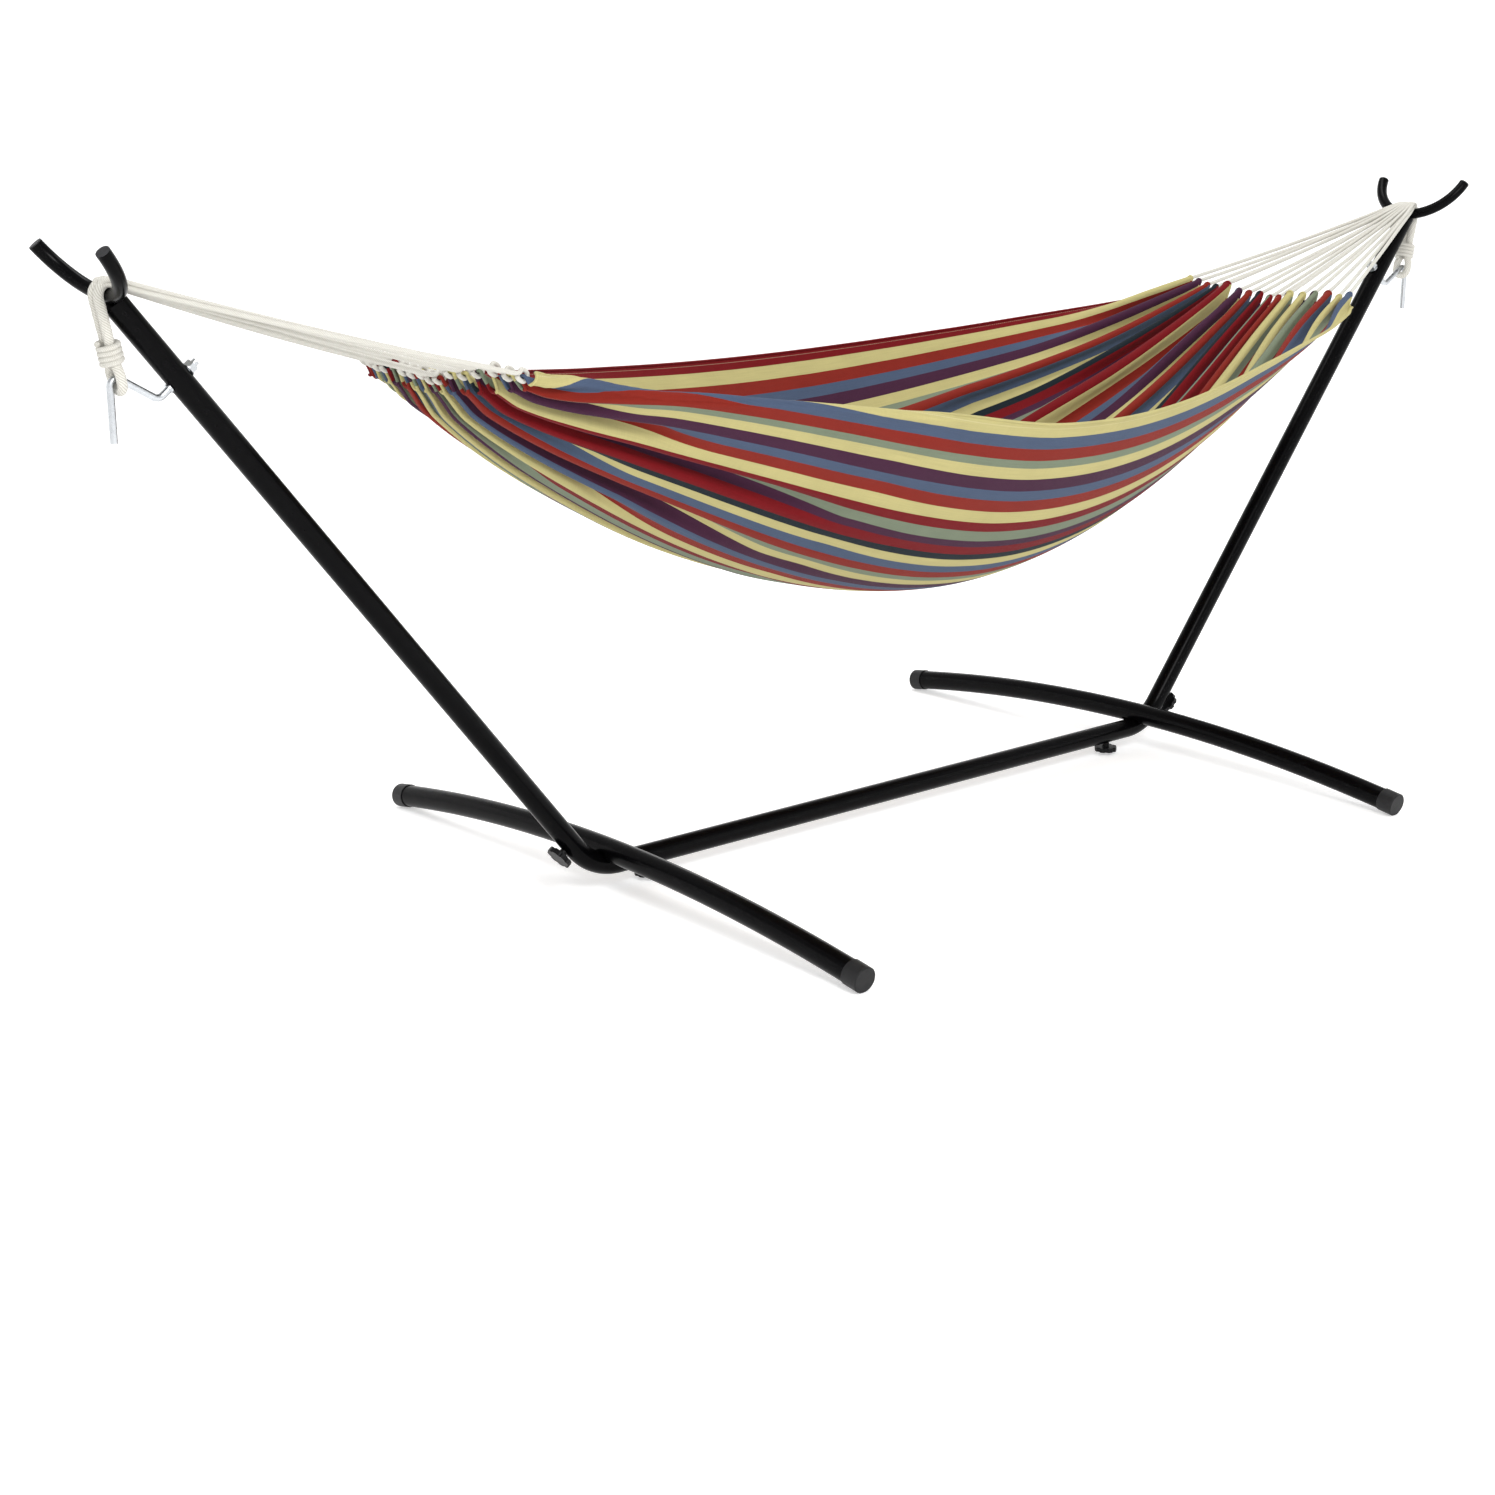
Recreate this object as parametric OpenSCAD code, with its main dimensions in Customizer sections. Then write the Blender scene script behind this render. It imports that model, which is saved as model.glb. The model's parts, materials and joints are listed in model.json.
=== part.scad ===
// Cloth hammock on a free-standing steel stand.
// Millimetres, +X along the hammock, +Z up, origin on the floor under the middle.
// The right-hand end (+X) is modelled and the left-hand end is its mirror image.

/* [Stand] */
// Outer diameter of the base bar, the elbows and the arms
tube_d = 35; // [33:0.5:37]
// Wall thickness of every tube
tube_wall = 1.5; // [1.2:0.1:1.8]
// Height of the base bar's centreline above the floor
base_axis_z = 40; // [39:0.5:44]
// Distance from the middle to where the base bar's and the arm's centrelines meet
corner_x = 673.5; // [640:0.5:700]
// Slope of the arms, degrees above the floor
arm_angle = 51.2; // [50:0.1:52]
// Length along the arm from that corner to the cradle rod
arm_reach = 1210; // [1200:1:1220]
// Centreline radius of the bend in each elbow
elbow_bend_r = 110; // [105:1:112]
// Distance from the corner to the end of the elbow on the arm's side
elbow_arm_end = 110; // [105:1:120]
// Distance from the corner to the end of the elbow on the base bar's side
elbow_base_end = 135; // [130:1:140]
// Length of the reduced tube end that pushes into an elbow
spigot_len = 55; // [50:1:56]

/* [Cross legs] */
// Outer diameter of the four legs
leg_d = 38; // [37.5:0.1:38.4]
// Distance from the base bar to the outer face of a foot cap
leg_span = 600; // [560:1:640]
// Height that the legs rise between their tips and the middle
leg_rise = 48.5; // [46:0.5:51]
// Distance from the middle of the stand to the legs' centreline
leg_x = 645; // [643:0.5:647]
// Half the length of the curved stub that carries two legs
stub_half = 95; // [80:1:110]
// Outer diameter of the foot caps
cap_d = 41; // [40.5:0.1:42]
// Length of the foot caps
cap_len = 30; // [26:1:34]

/* [Cradles and hooks] */
// Diameter of the bent rod that forms each cradle
cradle_rod_d = 20; // [19:0.5:20.5]
// Radius of the cradle's curve, to the middle of the rod
cradle_r = 97; // [95:0.5:100]
// Half angle of the cradle's curve, degrees
cradle_half_angle = 79.6; // [75:0.1:82]
// Diameter of the rope hook's rod
hook_d = 10; // [9.6:0.1:10.2]
// Distance along the arm from the corner to the rope hook
hook_along_arm = 1064; // [1062:0.5:1066]
// Distance from the middle to the hook's hanging tail
hook_tail_x = 1438.5; // [1438:0.1:1439]
// Height of the lower end of the hook's tail
hook_tail_z = 793; // [785:1:800]

/* [Knobs] */
// Diameter of a clamping knob over its lobes
knob_d = 42; // [38:0.5:44]
// Thickness of a knob's head
knob_head = 8.5; // [7:0.5:9]
// Distance from the corner to the arm's knob
arm_knob_at = 66; // [64:1:70]
// Distance from the corner to the base bar's knob
base_knob_at = 111; // [105:1:115]

/* [Hammock] */
// Half the length of the cloth, from the middle to the gathered edge
bed_half_length = 975; // [950:1:985]
// Half the width of the cloth at a gathered edge
gather_half_width = 225; // [200:1:240]
// Half the width of the cloth between its rims in the middle
bed_half_width = 475; // [440:1:500]
// Height of the gathered edges at the rims
gather_rim_z = 848; // [840:1:855]
// Height of the rims in the middle
middle_rim_z = 754; // [740:1:770]
// Height of the cloth's lowest line at a gathered edge
gather_low_z = 832; // [825:1:838]
// Height of the cloth's lowest point
middle_low_z = 411; // [400:1:430]
// Thickness of the cloth with its folds
cloth_thick = 4; // [3:0.5:5]
// Diameter of the hem along each rim
hem_d = 7; // [6:0.5:8]
// Diameter of one clew cord
cord_d = 7; // [5:0.1:7.1]
// Diameter of one strand of the loop rope
rope_d = 14; // [12:0.5:14]

/* [Hidden] */
$fn = 48;
fit = 0.2;
SIDES = ["left", "right"];
spigot_d = tube_d - 2 * tube_wall - 2 * fit;
bend_tangent = elbow_bend_r * tan(arm_angle / 2);
bend_centre = [corner_x - bend_tangent, 0, base_axis_z + elbow_bend_r];
leg_curve_r = (leg_span * leg_span + leg_rise * leg_rise) / (2 * leg_rise);
leg_angle = asin(leg_span / leg_curve_r);
leg_curve_fn = 1440;
foot_flat_depth = 1;
foot_z = cap_d / 2 * cos(leg_angle) - foot_flat_depth;
crown_z = foot_z + leg_rise;
stub_d = leg_d - 2 * tube_wall - 2 * fit;
cap_wall = 3;
cradle_x = corner_x + arm_reach * cos(arm_angle);
cradle_z = base_axis_z + arm_reach * sin(arm_angle);
arm_top_gap = 9;
stud_d = 8;
stud_hole_d = 9;
nut_bore_d = 8.1;
// Distances from a tube's centreline, outwards along a knob's axis
stud_tip = 3;
nut_low = 5.5;
nut_high = 12;
knob_neck_low = tube_d / 2 + 0.3;
knob_head_low = 25;
// The hook: its rod runs through the arm, dips, rises to a crown and drops into the tail
hook_inner_end = -34;
hook_dip = 40;
hook_dip_r = 12;
hook_crown_corner_z = 884;
hook_crown_r = 10;
// The loop rope: two strands over the cradle, a whipping, and an eye on the hook's crown
rope_gap = 0.8;
rope_turn_r = cradle_rod_d / 2 + rope_d / 2 + rope_gap;
rope_eye_r = hook_d / 2 + rope_d / 2 + 1;
rope_eye_shift = 0.5;
rope_eye_x = hook_tail_x - hook_crown_r - rope_eye_shift;
rope_eye_z = 873;
eye_drop = [rope_eye_x - cradle_x, rope_eye_z - cradle_z];
rope_length = sqrt(eye_drop[0] * eye_drop[0] + eye_drop[1] * eye_drop[1] - rope_turn_r * rope_turn_r);
rope_lean = -acos(rope_turn_r / norm(eye_drop)) - atan2(eye_drop[1], eye_drop[0]);
whipping_top = 53;
whipping_len = 37;
whipping_turns = 5;
whipping_d = 37;
// The clew: cords that fan out from a bundle at the cradle, in two rows, to the gathered edge
clew_axis_z = cradle_z + cradle_rod_d / 2 + 12;
clew_start = 12;
CORDS = 16;
cord_pitch = 7.2;
cord_overlap = 8;
// Grid of the cloth: strips along X and across Y
STRIPS_X = 48;
STRIPS_Y = 28;

// ---- Frames ----

// The left-hand end is the right-hand end mirrored
module at_side(side) {
  if (side == "left") mirror([1, 0, 0]) children();
  else children();
}

// Local +Z runs up the arm, and local +X points out of its lower side
module on_arm(along) {
  translate([corner_x + along * cos(arm_angle), 0, base_axis_z + along * sin(arm_angle)])
    rotate([0, 90 - arm_angle, 0]) children();
}

// Local +Z runs outwards along the base bar, and local +X points down
module on_base(inboard) {
  translate([corner_x - inboard, 0, base_axis_z]) rotate([0, 90, 0]) children();
}

// Arc in the XZ plane about the origin, from one angle to another above +X
module arc_xz(radius, from, to, d) {
  rotate([90, 0, 0]) rotate([0, 0, from])
    rotate_extrude(angle = to - from) translate([radius, 0]) circle(d = d);
}

// A barely raised ring over the seam between a bend and a straight, which makes them one piece
module seam_ring(d) {
  cylinder(h = 1.5, d = d + 0.2, center = true);
}

// ---- Tubes ----

module base_bar() {
  body_half = corner_x - elbow_base_end - fit;
  whole = 2 * (body_half + spigot_len);
  color("#111214") difference() {
    translate([0, 0, base_axis_z]) rotate([0, 90, 0]) {
      cylinder(h = 2 * body_half, d = tube_d, center = true);
      cylinder(h = whole, d = spigot_d, center = true);
    }
    translate([0, 0, base_axis_z]) rotate([0, 90, 0])
      cylinder(h = whole + 2, d = spigot_d - 2 * tube_wall, center = true);
    for (side = SIDES) at_side(side) on_base(base_knob_at) stud_hole();
  }
}

// Hole for a knob's stud through one wall of a tube
module stud_hole() {
  translate([nut_high - 2, 0, 0]) rotate([0, 90, 0]) cylinder(h = 12, d = stud_hole_d);
}

// The elbow's path: a straight on the base bar's side, the bend, and a straight on the arm's side
module elbow_path(d, extra) {
  on_base(elbow_base_end + extra) cylinder(h = elbow_base_end - bend_tangent + extra, d = d);
  on_base(bend_tangent) seam_ring(d);
  translate(bend_centre) arc_xz(elbow_bend_r, -90, arm_angle - 90, d);
  on_arm(bend_tangent) seam_ring(d);
  on_arm(bend_tangent) cylinder(h = elbow_arm_end - bend_tangent + extra, d = d);
}

module elbow(side) {
  color("#111214") at_side(side) difference() {
    elbow_path(tube_d, 0);
    elbow_path(tube_d - 2 * tube_wall, 1);
    on_arm(arm_knob_at) stud_hole();
    on_base(base_knob_at) stud_hole();
  }
}

module arm(side) {
  body_low = elbow_arm_end + fit;
  body_top = arm_reach - arm_top_gap;
  shoulder = 3;
  color("#111214") at_side(side) difference() {
    union() {
      on_arm(body_low) cylinder(h = body_top - body_low, d = tube_d);
      on_arm(body_low - spigot_len) cylinder(h = spigot_len + 1, d = spigot_d);
    }
    on_arm(body_low - spigot_len - 1)
      cylinder(h = spigot_len + shoulder + 1, d = spigot_d - 2 * tube_wall);
    on_arm(body_low + shoulder)
      cylinder(h = body_top - body_low - 2 * shoulder, d = tube_d - 2 * tube_wall);
    on_arm(arm_knob_at) stud_hole();
    on_arm(hook_along_arm) rotate([0, 90, 0]) cylinder(h = tube_d + 4, d = hook_d + 1, center = true);
    cradle_curve(cradle_rod_d);
  }
}

// ---- Cross legs ----

// Part of the crossbar's arc, from one angle to another off the top, towards +Y
module leg_curve(from, to, d) {
  translate([leg_x, 0, crown_z - leg_curve_r]) rotate([0, -90, 0]) rotate([0, 0, from])
    rotate_extrude(angle = to - from, $fn = leg_curve_fn)
      translate([leg_curve_r, 0]) circle(d = d, $fn = 48);
}

function arc_degrees(length) = length / leg_curve_r * 180 / PI;

// Local +Z points from the cross stub's middle to the centre of the elbow's bend
module on_stub() {
  translate([leg_x, 0, crown_z])
    rotate([0, -atan2(leg_x - bend_centre[0], bend_centre[2] - crown_z), 0]) children();
}

// Curved stub welded across the inside of the elbow's bend, and notched to sit on the elbow
module cross_stub(side) {
  reach = arc_degrees(stub_half);
  over = arc_degrees(stub_half + 1);
  notch_half = tube_d / 2 + 0.5;
  notch_top = 5.3;
  color("#111214") at_side(side) difference() {
    leg_curve(-reach, reach, stub_d);
    leg_curve(-over, over, stub_d - 2 * tube_wall);
    on_stub() translate([-leg_d, -notch_half, -leg_d - notch_top])
      cube([2 * leg_d, 2 * notch_half, leg_d]);
  }
}

// A leg slides over the stub up to the middle, and its lower side is notched round the elbow
module leg(side, front) {
  tip = leg_angle - arc_degrees(cap_wall + fit);
  notch_half = tube_d / 2 + 2;
  notch_top = 4;
  color("#111214") at_side(side) mirror([0, front, 0]) difference() {
    leg_curve(arc_degrees(fit), tip, leg_d);
    leg_curve(arc_degrees(-1), tip + arc_degrees(1), leg_d - 2 * tube_wall);
    on_stub() translate([-leg_d, -notch_half, -leg_d - notch_top])
      cube([2 * leg_d, 2 * notch_half, leg_d]);
  }
}

// Plastic cap over a leg's end, with a small flat where it stands on the floor
module foot_cap(side, front) {
  outer = cap_d / 2;
  pocket = leg_d / 2 + 0.25;
  edge = 1.5;
  color("#2b2c2e") at_side(side) mirror([0, front, 0]) difference() {
    translate([leg_x, leg_span, foot_z]) rotate([-90 - leg_angle, 0, 0])
      rotate_extrude()
        polygon([
          [0, 0], [outer - edge, 0], [outer, -edge], [outer, -cap_len],
          [pocket, -cap_len], [pocket, -cap_wall], [0, -cap_wall]
        ]);
    translate([leg_x - cap_d, leg_span - 2 * cap_len, -cap_d]) cube([2 * cap_d, 3 * cap_len, cap_d]);
  }
}

// ---- Cradles ----

// The cradle's curve lies in the plane of the arm and Y, with its lowest point on the arm
module cradle_curve(d) {
  on_arm(arm_reach) translate([0, 0, cradle_r]) rotate([0, 90, 0]) rotate([0, 0, -cradle_half_angle])
    rotate_extrude(angle = 2 * cradle_half_angle) translate([cradle_r, 0]) circle(d = d);
}

module cradle(side) {
  color("#111214") at_side(side) difference() {
    cradle_curve(cradle_rod_d);
    on_arm(arm_reach) translate([0, 0, cradle_r]) rotate([0, 90, 0]) rotate([0, 0, -90])
      rotate_extrude(angle = 180) translate([cradle_r, 0]) circle(d = cradle_rod_d - 4);
  }
}

// Two plugs that close the ends of a cradle's tube
module cradle_plugs(side) {
  plug_d = cradle_rod_d - 5;
  color("#4a4c4f") at_side(side) on_arm(arm_reach) for (back = [0, 1]) mirror([0, back, 0])
    translate([0, cradle_r * sin(cradle_half_angle), cradle_r * (1 - cos(cradle_half_angle))])
      rotate([cradle_half_angle - 90, 0, 0]) {
        translate([0, 0, 0.05]) cylinder(h = 1.5, d = cradle_rod_d - 0.6);
        translate([0, 0, -8]) cylinder(h = 9, d = plug_d);
      }
}

// ---- Knobs ----

// A lobed head on a neck, with the threaded stud moulded into it. Local +X points outwards
module knob_shape() {
  lobes = 8;
  scallop_d = 9;
  rotate([0, 90, 0]) {
    translate([0, 0, stud_tip]) cylinder(h = knob_head_low - stud_tip, d = stud_d);
    translate([0, 0, knob_neck_low]) cylinder(h = knob_head_low - knob_neck_low + 0.5, d = 13);
    translate([0, 0, knob_head_low]) linear_extrude(knob_head) difference() {
      circle(d = knob_d);
      for (i = [0 : lobes - 1])
        rotate([0, 0, i * 360 / lobes]) translate([knob_d / 2 + scallop_d * 0.22, 0]) circle(d = scallop_d);
    }
  }
}

module arm_knob(side) {
  color("#18191b") at_side(side) on_arm(arm_knob_at) knob_shape();
}

module base_knob(side) {
  color("#18191b") at_side(side) on_base(base_knob_at) knob_shape();
}

// A hexagon nut inside the tube end under each knob
module weld_nut() {
  rotate([0, 90, 0]) translate([0, 0, nut_low]) difference() {
    cylinder(h = nut_high - nut_low, d = 15, $fn = 6);
    translate([0, 0, -1]) cylinder(h = nut_high, d = nut_bore_d);
  }
}

module weld_nuts() {
  color("#9a9c9f") for (side = SIDES) at_side(side) {
    on_arm(arm_knob_at) weld_nut();
    on_base(base_knob_at) weld_nut();
  }
}

// ---- Rope hooks ----

function arm_point(along, out) = [
  corner_x + along * cos(arm_angle) + out * sin(arm_angle),
  base_axis_z + along * sin(arm_angle) - out * cos(arm_angle)
];

function heading(a, b) = atan2(b[1] - a[1], b[0] - a[0]);

// A straight rod in the XZ plane
module rod_xz(a, b, d) {
  translate([a[0], 0, a[1]]) rotate([0, 90 - heading(a, b), 0]) cylinder(h = norm(b - a), d = d);
}

// The seam ring where the rod reaches a point of its path
module rod_seam(at, before, d) {
  translate([at[0], 0, at[1]]) rotate([0, 90 - heading(before, at), 0]) seam_ring(d);
}

// The rod's bend round a corner of its path
module rod_bend(before, corner, after, radius, d) {
  first = heading(before, corner);
  turn = heading(corner, after) - first;
  side = turn > 0 ? 1 : -1;
  back = radius * tan(abs(turn) / 2);
  centre = corner - back * [cos(first), sin(first)] + side * radius * [-sin(first), cos(first)];
  start = first - side * 90;
  translate([centre[0], 0, centre[1]]) arc_xz(radius, min(start, start + turn), max(start, start + turn), d);
}

function bend_length(before, corner, after, radius) =
  radius * tan(abs(heading(corner, after) - heading(before, corner)) / 2);

function towards(a, b, length) = a + length * (b - a) / norm(b - a);

module rope_hook(side) {
  inner = arm_point(hook_along_arm, hook_inner_end);
  dip = arm_point(hook_along_arm, hook_dip);
  crown = [hook_tail_x, hook_crown_corner_z];
  tail = [hook_tail_x, hook_tail_z];
  dip_cut = bend_length(inner, dip, crown, hook_dip_r);
  crown_cut = bend_length(dip, crown, tail, hook_crown_r);
  dip_in = towards(dip, inner, dip_cut);
  dip_out = towards(dip, crown, dip_cut);
  crown_in = towards(crown, dip, crown_cut);
  crown_out = towards(crown, tail, crown_cut);
  color("#d5d7da") at_side(side) {
    rod_xz(inner, dip_in, hook_d);
    rod_seam(dip_in, inner, hook_d);
    rod_bend(inner, dip, crown, hook_dip_r, hook_d);
    rod_seam(dip_out, dip, hook_d);
    rod_xz(dip_out, crown_in, hook_d);
    rod_seam(crown_in, dip, hook_d);
    rod_bend(dip, crown, tail, hook_crown_r, hook_d);
    rod_seam(crown_out, crown, hook_d);
    rod_xz(crown_out, tail, hook_d);
    on_arm(hook_along_arm) translate([tube_d / 2 + 0.1, 0, 0]) rotate([0, 90, 0]) cylinder(h = 3, d = 15);
  }
}

module hook_washers() {
  color("#c4c6c9") for (side = SIDES) at_side(side) on_arm(hook_along_arm)
    translate([-tube_d / 2 - 1.7, 0, 0]) rotate([0, 90, 0]) difference() {
      cylinder(h = 1.6, d = 20);
      translate([0, 0, -1]) cylinder(h = 4, d = hook_d + 0.4);
    }
}

module hook_nuts() {
  color("#c4c6c9") for (side = SIDES) at_side(side) on_arm(hook_along_arm)
    translate([-tube_d / 2 - 9.8, 0, 0]) rotate([0, 90, 0]) difference() {
      cylinder(h = 8, d = 19.6, $fn = 6);
      translate([0, 0, -1]) cylinder(h = 10, d = hook_d + 0.1);
    }
}

// ---- Loop ropes ----

// Local +Z runs up the hanging rope from where it leaves the cradle rod, and -Z down to the hook
module on_rope() {
  translate([
    cradle_x + rope_turn_r * cos(rope_lean), 0,
    cradle_z - rope_turn_r * sin(rope_lean)
  ]) rotate([0, rope_lean, 0]) children();
}

// Two strands side by side, from the cradle's top, over its outer side and down to the whipping
module loop_rope(side) {
  strand_y = rope_d / 2 + 0.15;
  color("#e9e6da") at_side(side) for (y = [-strand_y, strand_y]) translate([0, y, 0]) {
    translate([cradle_x, 0, cradle_z]) arc_xz(rope_turn_r, -rope_lean, 90, rope_d);
    on_rope() seam_ring(rope_d);
    on_rope() translate([0, 0, -whipping_top]) cylinder(h = whipping_top, d = rope_d);
  }
}

// Five turns of cord wound round the strands
module whipping(side) {
  pitch = whipping_len / whipping_turns;
  turn_d = pitch * 1.12;
  core_r = (whipping_d - turn_d) / 2;
  color("#e4e1d4") at_side(side) on_rope() translate([0, 0, -whipping_top - whipping_len])
    rotate_extrude() intersection() {
      union() {
        square([core_r, whipping_len]);
        for (i = [0 : whipping_turns - 1]) translate([core_r, (i + 0.5) * pitch]) circle(d = turn_d);
      }
      square([whipping_d, whipping_len]);
    }
}

// The eye under the whipping, round the hook's crown
module rope_eye(side) {
  leg_top = whipping_top + whipping_len;
  color("#e9e6da") at_side(side) on_rope() {
    for (y = [-rope_eye_r, rope_eye_r])
      translate([0, y, -rope_length]) cylinder(h = rope_length - leg_top, d = rope_d);
    translate([0, 0, -rope_length]) rotate([0, 90, 0]) rotate([0, 0, -90])
      rotate_extrude(angle = 180) translate([rope_eye_r, 0]) circle(d = rope_d);
  }
}

// ---- Hammock ----

// The cloth hangs as a trough: u runs from -1 to 1 along it and s from -1 to 1 across it
function half_width(u) =
  gather_half_width + (bed_half_width - gather_half_width) * pow(cos(90 * abs(u)), 1.1);
function rim_z(u) = gather_rim_z - (gather_rim_z - middle_rim_z) * cos(90 * abs(u));
function low_z(u) = gather_low_z - (gather_low_z - middle_low_z) * (1 - pow(abs(u), 2.2));
function cloth(u, s) = [
  bed_half_length * u,
  half_width(u) * s,
  low_z(u) + (rim_z(u) - low_z(u)) * pow(abs(s), 1.7)
];

// Unit vector square to the cloth, upwards
function cloth_normal(u, s) =
  let (
    step = 0.01,
    u0 = max(u - step, -1), u1 = min(u + step, 1),
    along = cloth(u1, s) - cloth(u0, s),
    across = cloth(u, s + step) - cloth(u, s - step),
    n = cross(along, across)
  ) n / norm(n);

// How much of s the hem takes at a rim
function hem_share(u) = (hem_d / 2 + 0.3) / norm((cloth(u, 1) - cloth(u, 0.98)) / 0.02);

module hammock_bed() {
  rows = STRIPS_X + 1;
  cols = STRIPS_Y + 1;
  layer = rows * cols;
  points = [
    for (side = [-0.5, 0.5]) for (i = [0 : STRIPS_X]) for (j = [0 : STRIPS_Y])
      let (
        u = -cos(180 * i / STRIPS_X),
        s = (-1 + 2 * j / STRIPS_Y) * (1 - hem_share(u))
      ) cloth(u, s) + side * cloth_thick * cloth_normal(u, s)
  ];
  function at(l, i, j) = l * layer + i * cols + j;
  faces = [
    for (i = [0 : STRIPS_X - 1]) for (j = [0 : STRIPS_Y - 1]) each [
      [at(0, i, j), at(0, i + 1, j), at(0, i + 1, j + 1)],
      [at(0, i, j), at(0, i + 1, j + 1), at(0, i, j + 1)],
      [at(1, i, j), at(1, i + 1, j + 1), at(1, i + 1, j)],
      [at(1, i, j), at(1, i, j + 1), at(1, i + 1, j + 1)]
    ],
    for (i = [0 : STRIPS_X - 1]) each [
      [at(0, i, 0), at(1, i, 0), at(1, i + 1, 0)],
      [at(0, i, 0), at(1, i + 1, 0), at(0, i + 1, 0)],
      [at(0, i, STRIPS_Y), at(1, i + 1, STRIPS_Y), at(1, i, STRIPS_Y)],
      [at(0, i, STRIPS_Y), at(0, i + 1, STRIPS_Y), at(1, i + 1, STRIPS_Y)]
    ],
    for (j = [0 : STRIPS_Y - 1]) each [
      [at(0, 0, j), at(1, 0, j + 1), at(1, 0, j)],
      [at(0, 0, j), at(0, 0, j + 1), at(1, 0, j + 1)],
      [at(0, STRIPS_X, j), at(1, STRIPS_X, j), at(1, STRIPS_X, j + 1)],
      [at(0, STRIPS_X, j), at(1, STRIPS_X, j + 1), at(0, STRIPS_X, j + 1)]
    ]
  ];
  color("#8f2a24") polyhedron(points, faces, convexity = 6);
}

// Rolled hem along one rim, swept as rings in planes of constant X
module hem(front) {
  ring = 8;
  points = [
    for (i = [0 : STRIPS_X]) for (k = [0 : ring - 1])
      let (u = -cos(180 * i / STRIPS_X), a = 360 * k / ring)
        cloth(u, 1) + hem_d / 2 * [0, cos(a), sin(a)]
  ];
  faces = [
    [for (k = [0 : ring - 1]) k],
    [for (k = [ring - 1 : -1 : 0]) STRIPS_X * ring + k],
    for (i = [0 : STRIPS_X - 1]) for (k = [0 : ring - 1])
      [i * ring + k, (i + 1) * ring + k, (i + 1) * ring + (k + 1) % ring, i * ring + (k + 1) % ring]
  ];
  color("#1f2f38") mirror([0, front, 0]) polyhedron(points, faces, convexity = 4);
}

// Where a cord leaves the bundle on the cradle, and where it meets the gathered edge
function cord_start(k) = [
  cradle_x - clew_start,
  (floor(k / 2) - (CORDS / 2 - 1) / 2) * cord_pitch,
  clew_axis_z + (k % 2 - 0.5) * cord_pitch
];
function cord_end(k) = cloth(1, -0.95 + 1.9 * k / (CORDS - 1));

module clew_cords(side) {
  color("#e9e6da") at_side(side) for (k = [0 : CORDS - 1])
    let (a = cord_start(k), b = cord_end(k), d = b - a, length = norm(d))
      translate(a) rotate([0, acos(d[2] / length), atan2(d[1], d[0])])
        cylinder(h = length + cord_overlap, d = cord_d, $fn = 24);
}

// ---- Parts ----

base_bar();
elbow("left");  // elbow_left
elbow("right");  // elbow_right
arm("left");  // arm_left
arm("right");  // arm_right
cross_stub("left");  // cross_stub_left
cross_stub("right");  // cross_stub_right
leg("left", 1);  // leg_left_front
leg("left", 0);  // leg_left_back
leg("right", 1);  // leg_right_front
leg("right", 0);  // leg_right_back
foot_cap("left", 1);  // foot_cap_left_front
foot_cap("left", 0);  // foot_cap_left_back
foot_cap("right", 1);  // foot_cap_right_front
foot_cap("right", 0);  // foot_cap_right_back
cradle("left");  // cradle_left
cradle("right");  // cradle_right
cradle_plugs("left");  // cradle_plugs_left
cradle_plugs("right");  // cradle_plugs_right
arm_knob("left");  // arm_knob_left
arm_knob("right");  // arm_knob_right
base_knob("left");  // base_knob_left
base_knob("right");  // base_knob_right
weld_nuts();
rope_hook("left");  // rope_hook_left
rope_hook("right");  // rope_hook_right
hook_nuts();
hook_washers();
hammock_bed();
hem(1);  // hem_front
hem(0);  // hem_back
clew_cords("left");  // clew_cords_left
clew_cords("right");  // clew_cords_right
loop_rope("left");  // loop_rope_left
loop_rope("right");  // loop_rope_right
whipping("left");  // whipping_left
whipping("right");  // whipping_right
rope_eye("left");  // rope_eye_left
rope_eye("right");  // rope_eye_right
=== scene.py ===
"""Looks of a striped hammock on its steel stand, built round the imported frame.

Everything is in metres, in the frame's own axes: +X along the hammock, +Y across it, +Z up.
"""
import json
import math

import bpy
import numpy as np
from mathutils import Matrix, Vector


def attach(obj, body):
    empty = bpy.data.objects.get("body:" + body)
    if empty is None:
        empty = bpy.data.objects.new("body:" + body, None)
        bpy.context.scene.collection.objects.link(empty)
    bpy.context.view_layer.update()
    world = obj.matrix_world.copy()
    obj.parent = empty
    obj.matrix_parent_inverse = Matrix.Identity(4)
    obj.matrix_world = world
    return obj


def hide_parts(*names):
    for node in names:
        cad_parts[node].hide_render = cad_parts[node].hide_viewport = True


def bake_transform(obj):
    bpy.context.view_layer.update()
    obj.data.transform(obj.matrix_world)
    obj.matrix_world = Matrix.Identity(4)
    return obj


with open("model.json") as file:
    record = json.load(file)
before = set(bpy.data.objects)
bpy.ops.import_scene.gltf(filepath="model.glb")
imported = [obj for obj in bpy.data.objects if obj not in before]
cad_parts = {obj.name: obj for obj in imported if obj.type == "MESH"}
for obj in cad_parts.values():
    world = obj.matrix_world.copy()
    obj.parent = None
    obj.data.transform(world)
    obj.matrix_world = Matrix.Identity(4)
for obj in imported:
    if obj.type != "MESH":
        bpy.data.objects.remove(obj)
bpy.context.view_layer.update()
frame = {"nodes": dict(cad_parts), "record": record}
SCENE = bpy.context.scene
SIDES = {"left": -1, "right": 1}

# ---- The stand's numbers that the ropes need, as in part.scad ----

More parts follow.
